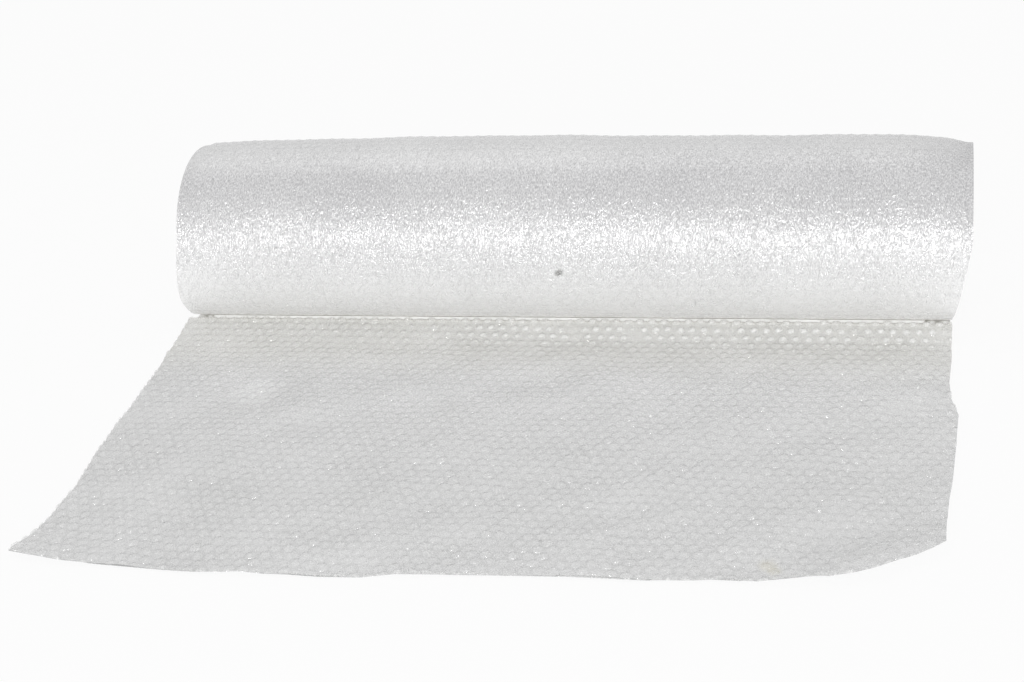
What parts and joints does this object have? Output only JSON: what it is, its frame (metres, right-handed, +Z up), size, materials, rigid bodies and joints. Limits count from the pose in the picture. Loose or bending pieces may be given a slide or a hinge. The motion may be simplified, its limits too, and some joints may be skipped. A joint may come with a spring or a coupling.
{
  "type": "bubble wrap roll",
  "caption": "Coreless roll of clear bubble wrap lying on the floor, with its free end pulled out flat in front of it, ready to cut and wrap goods.",
  "frame": {"origin": "on the floor, at the centre of the base of the object's box", "axes": "+X along the roll's axis to the right, +Y from the free sheet's front edge towards the roll, +Z up"},
  "size_m": [0.77, 0.5506, 0.1717],
  "materials": {
    "bubble_film": "clear polyethylene film with air bubbles, whitish where many layers lie together"
  },
  "bodies": {
    "root": {"bubble_wrap": "bubble_film"}
  },
  "joints": []
}
